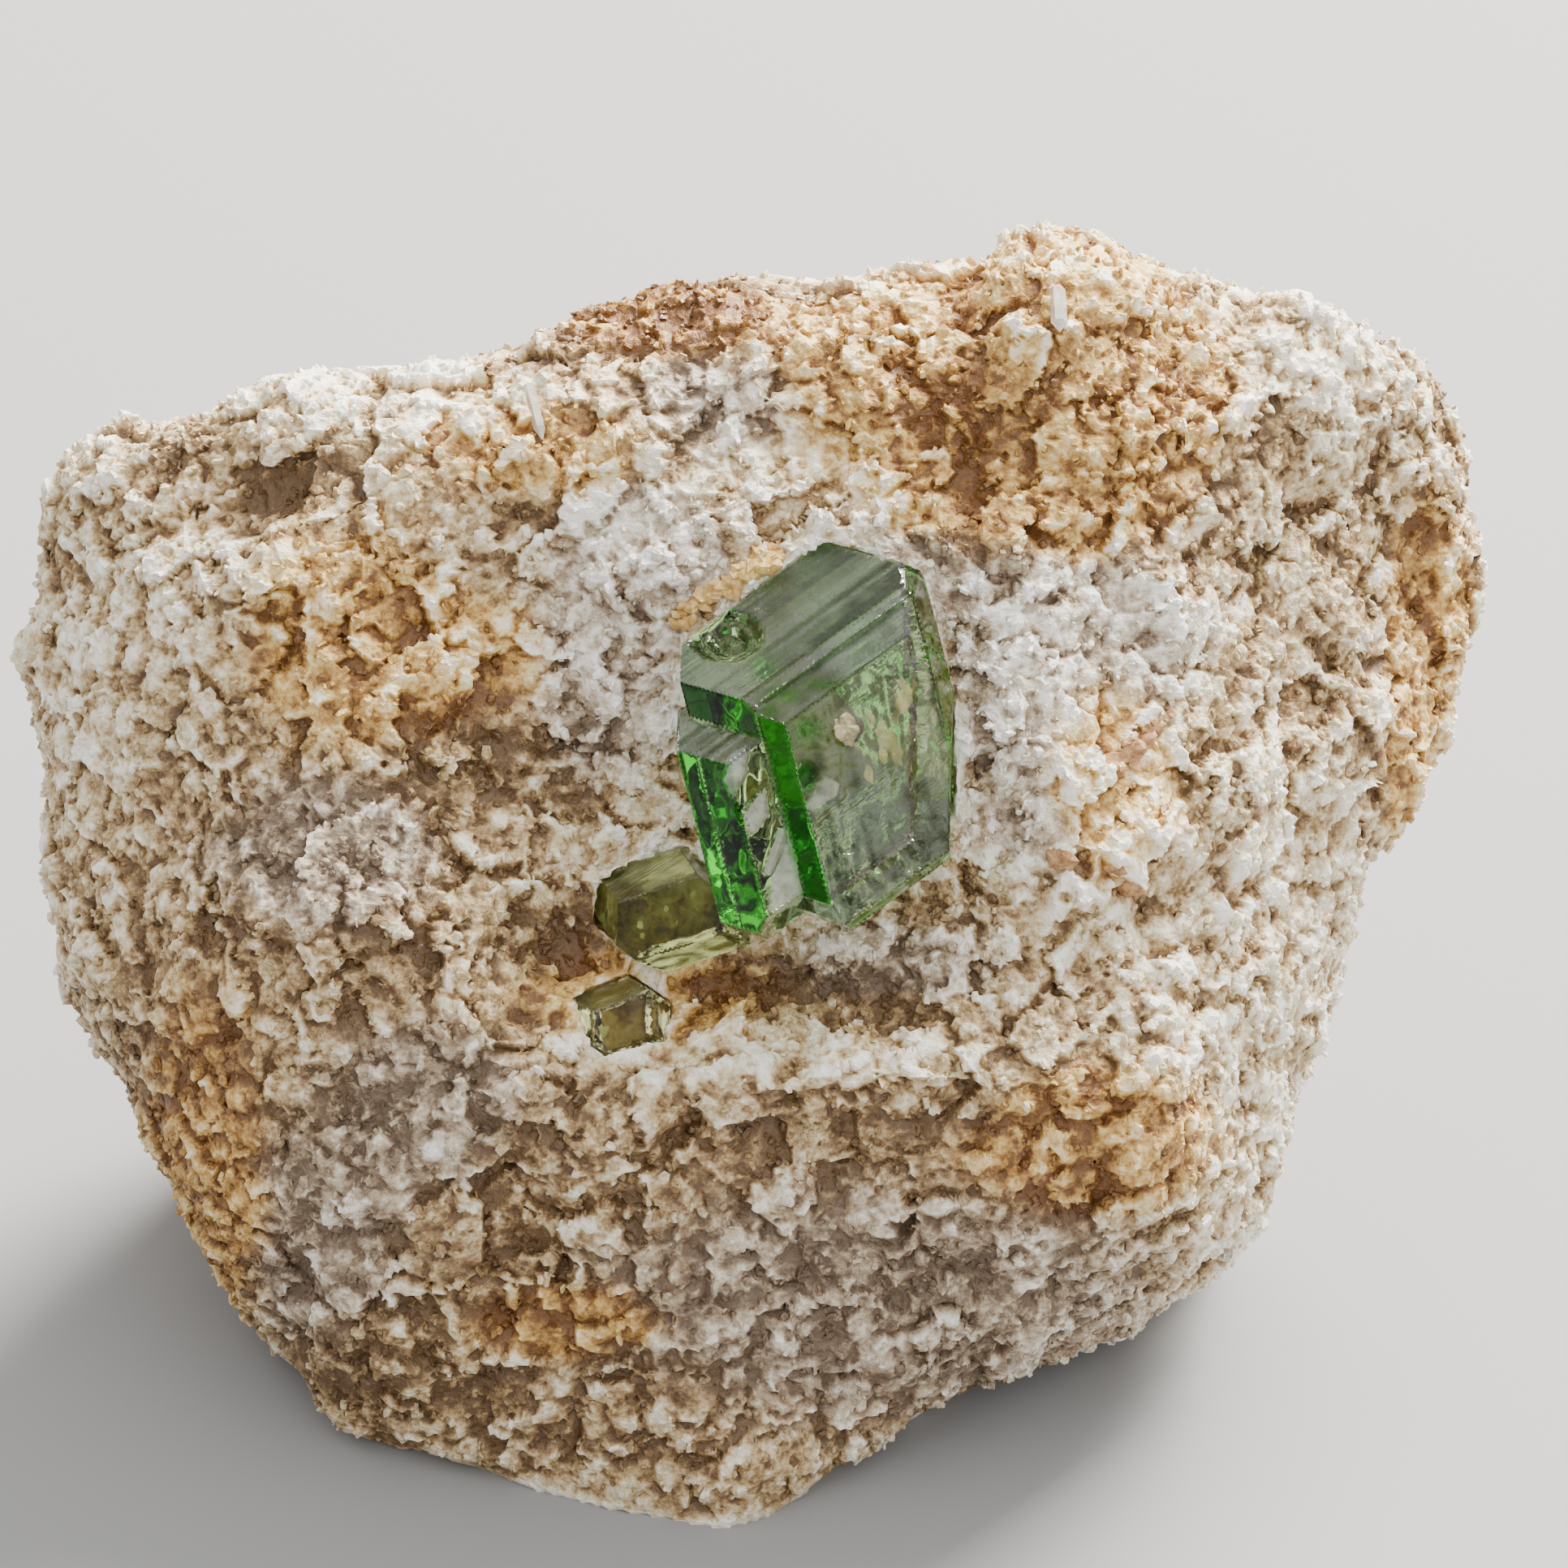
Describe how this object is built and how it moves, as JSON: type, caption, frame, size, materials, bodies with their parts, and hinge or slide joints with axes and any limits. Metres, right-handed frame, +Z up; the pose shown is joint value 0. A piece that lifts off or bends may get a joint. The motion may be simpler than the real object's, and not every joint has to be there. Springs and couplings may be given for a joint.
{
  "type": "demantoid garnet on matrix",
  "caption": "Green dodecahedral demantoid garnet crystal with small olive crystals beside it, on a loose lump of white and tan sugary rock that rests on its flat underside.",
  "frame": {"origin": "middle of the underside of the whole specimen's box, on the surface it rests on", "axes": "+X along the lump's length to the right of the crystal face, +Y from the crystal face towards the back, +Z up"},
  "size_m": [0.0458, 0.025, 0.0338],
  "materials": {
    "matrix_rock": "sugary grains of white, cream and lilac grey with amber and brown stains, dull with small glints",
    "demantoid": "clear emerald to grey green crystal, bright lustre, fine striations and etched steps on its faces",
    "olive_garnet": "clear olive green crystal with smooth faces",
    "pale_garnet": "clear pale yellow green crystal, partly sunk in the rock"
  },
  "bodies": {
    "root": {"matrix": "matrix_rock", "demantoid_crystal": "demantoid", "olive_crystal": "olive_garnet", "pale_crystal": "pale_garnet"}
  },
  "joints": []
}
